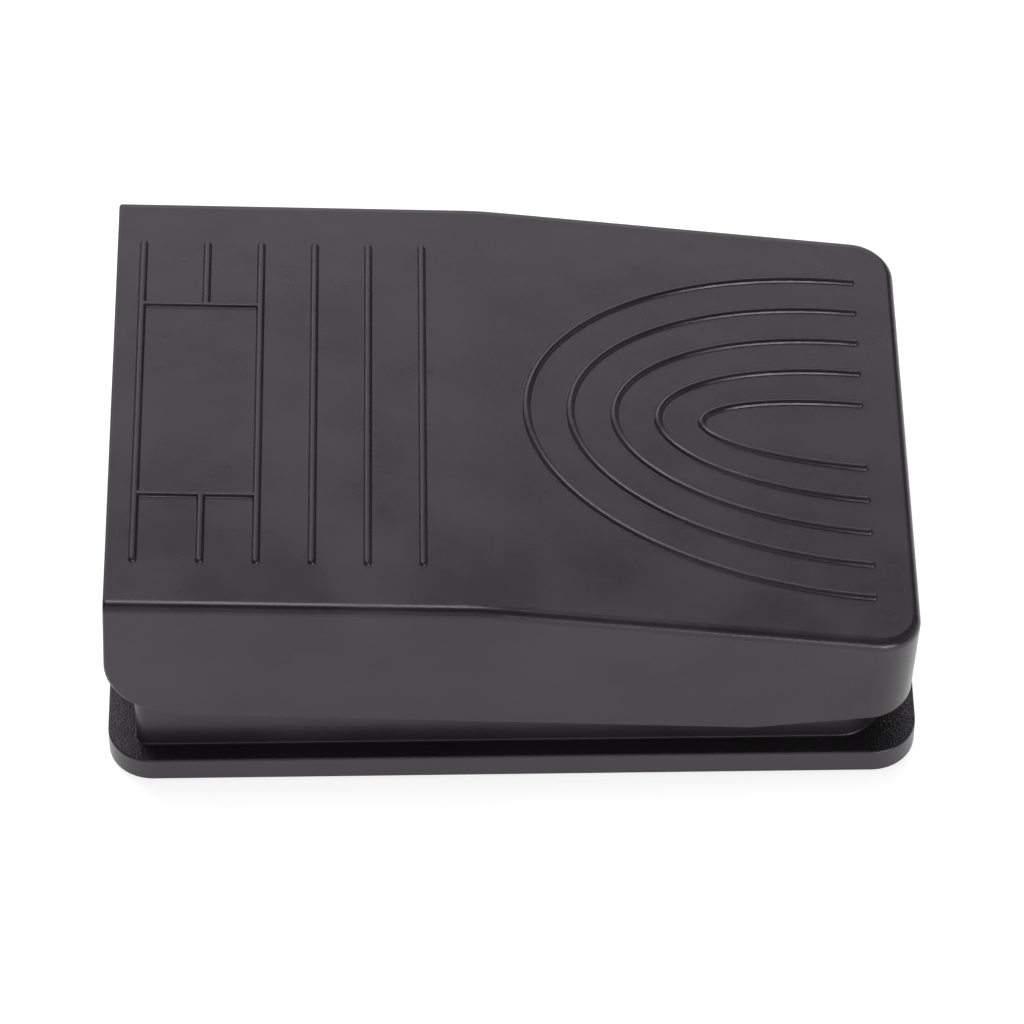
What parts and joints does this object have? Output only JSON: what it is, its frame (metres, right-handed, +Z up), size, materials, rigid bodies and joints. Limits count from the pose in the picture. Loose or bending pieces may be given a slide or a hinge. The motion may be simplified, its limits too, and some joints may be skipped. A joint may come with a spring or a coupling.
{
  "type": "sustain pedal",
  "caption": "Compact foot switch for keyboards: a ribbed wedge cover hinged on a flanged base, sprung back up, with a snap switch inside.",
  "frame": {"origin": "middle of the footprint, on the surface that the rubber feet stand on", "axes": "+X towards the thin hinged end, +Y across the pedal, +Z up"},
  "size_m": [0.1, 0.0686, 0.0335],
  "materials": {
    "cover_plastic": "satin moulded black ABS",
    "base_plastic": "moulded black ABS, grained on the flange",
    "plated_steel": "zinc-plated sheet",
    "screw_steel": "zinc-plated",
    "pin_steel": "ground rod",
    "spring_steel": "bright spring wire and strip",
    "soft_rubber": "soft black rubber",
    "foot_rubber": "matt black rubber",
    "gland_rubber": "matt black rubber",
    "switch_plastic": "dark thermoset moulding",
    "button_plastic": "red acetal",
    "contact_brass": "plated brass strip",
    "clamp_plastic": "black nylon"
  },
  "bodies": {
    "base": {"base_housing": "base_plastic", "base_plate": "plated_steel", "base_plate_screws": "screw_steel", "foot_front_left": "foot_rubber", "foot_front_right": "foot_rubber", "foot_rear_left": "foot_rubber", "foot_rear_right": "foot_rubber", "hinge_pin": "pin_steel", "return_spring_front": "spring_steel", "return_spring_rear": "spring_steel", "stop_pad_front": "soft_rubber", "stop_pad_rear": "soft_rubber", "bump_stop_front": "soft_rubber", "bump_stop_rear": "soft_rubber", "switch_case": "switch_plastic", "switch_lid": "switch_plastic", "switch_lever_pin": "pin_steel", "terminal_common": "contact_brass", "terminal_normally_open": "contact_brass", "terminal_normally_closed": "contact_brass", "switch_screws": "screw_steel", "cable_gland": "gland_rubber", "cord_clamp": "clamp_plastic", "cord_clamp_screws": "screw_steel"},
    "cover": {"pedal_cover": "cover_plastic"},
    "lever": {"switch_lever": "spring_steel"},
    "plunger": {"switch_plunger": "button_plastic"},
    "blade": {"switch_blade": "contact_brass"}
  },
  "joints": [
    {"name": "pedal_hinge", "type": "hinge", "parent": "base", "child": "cover", "pos_m": [0.0385, 0, 0.019], "axis": [0, -1, 0], "range_deg": [0, 4], "stiffness_Nm_per_rad": 3.2, "springref_deg": -9.17, "deforming": ["return_spring_front", "return_spring_rear"]},
    {"name": "switch_lever_hinge", "type": "hinge", "parent": "base", "child": "lever", "pos_m": [-0.0086, 0, 0.0191], "axis": [0, 1, 0], "range_deg": [0, 7.41]},
    {"name": "switch_plunger_slide", "type": "slide", "parent": "base", "child": "plunger", "axis": [0, 0, -1], "range_m": [0, 0.00073]},
    {"name": "contact_blade_hinge", "type": "hinge", "parent": "base", "child": "blade", "pos_m": [-0.008, 0, 0.0143], "axis": [0, 1, 0], "range_deg": [0, 3.01]}
  ],
  "couplings": [
    {"joint": "switch_lever_hinge", "follows": "pedal_hinge", "ratio": 1.85},
    {"joint": "switch_plunger_slide", "follows": "pedal_hinge", "m_per_rad": 0.01042},
    {"joint": "contact_blade_hinge", "follows": "pedal_hinge", "ratio": 0.75}
  ]
}
